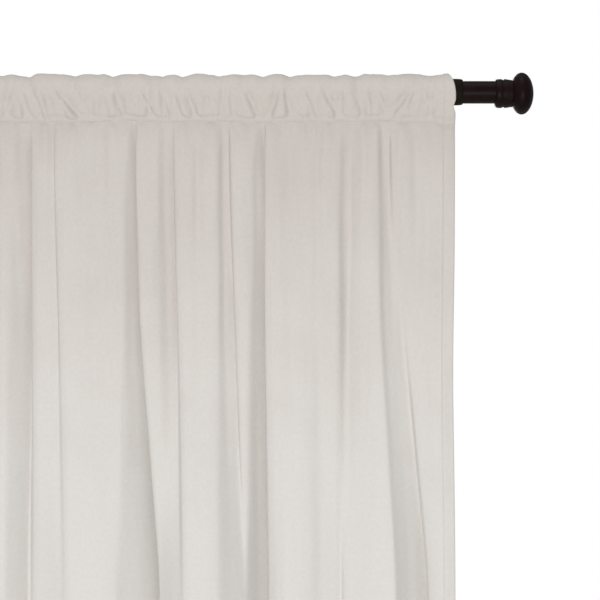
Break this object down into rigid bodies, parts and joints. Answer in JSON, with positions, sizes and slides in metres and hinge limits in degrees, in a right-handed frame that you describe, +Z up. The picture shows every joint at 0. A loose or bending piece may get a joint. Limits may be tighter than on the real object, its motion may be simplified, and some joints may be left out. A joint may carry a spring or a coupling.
{
  "type": "rod pocket curtain panel",
  "caption": "Gathered velvet rod-pocket curtain panel hanging on a telescoping bronze metal rod with bun-shaped end caps.",
  "frame": {"origin": "on the rod's axis, in the middle of the outer tube, where the rod rests in its brackets", "axes": "+X along the rod to the end that extends, +Y away from the room, +Z up"},
  "size_m": [1.0408, 0.0685, 2.1366],
  "materials": {
    "velvet": "matte",
    "thread": "matte",
    "label": "satin",
    "bronze_paint": "satin",
    "bronze_resin": "satin",
    "black_plastic": "satin",
    "screw_steel": "satin"
  },
  "bodies": {
    "outer_rod": {"outer_tube": "bronze_paint", "tube_mouth_ring": "black_plastic"},
    "inner_rod": {"inner_tube": "bronze_paint"},
    "right_cap": {"right_cap_collar": "bronze_paint", "right_cap_knob": "bronze_resin", "right_cap_stud": "screw_steel", "right_grub_screw": "screw_steel"},
    "left_cap": {"left_cap_collar": "bronze_paint", "left_cap_knob": "bronze_resin", "left_cap_stud": "screw_steel", "left_grub_screw": "screw_steel"},
    "curtain": {"velvet_panel": "velvet", "rod_pocket": "velvet", "bottom_hem": "velvet", "left_side_hem": "velvet", "left_pocket_end": "velvet", "pocket_seam_thread": "thread", "bottom_hem_thread": "thread", "left_hem_thread": "thread", "care_label": "label"},
    "leading_edge": {"right_side_hem": "velvet", "right_pocket_end": "velvet", "right_hem_thread": "thread"}
  },
  "joints": [
    {"name": "rod_extend", "type": "slide", "parent": "outer_rod", "child": "inner_rod", "axis": [1, 0, 0], "range_m": [-0.035, 0.45]},
    {"name": "right_cap_off", "type": "slide", "parent": "inner_rod", "child": "right_cap", "axis": [1, 0, 0], "range_m": [0, 0.04]},
    {"name": "left_cap_off", "type": "slide", "parent": "outer_rod", "child": "left_cap", "axis": [-1, 0, 0], "range_m": [0, 0.04]},
    {"name": "curtain_slide", "type": "slide", "parent": "outer_rod", "child": "curtain", "axis": [1, 0, 0], "range_m": [-0.02, 0.012]},
    {"name": "curtain_draw", "type": "slide", "parent": "curtain", "child": "leading_edge", "axis": [-1, 0, 0], "range_m": [0, 0.478], "deforming": ["velvet_panel", "rod_pocket", "bottom_hem", "pocket_seam_thread", "bottom_hem_thread"]}
  ]
}
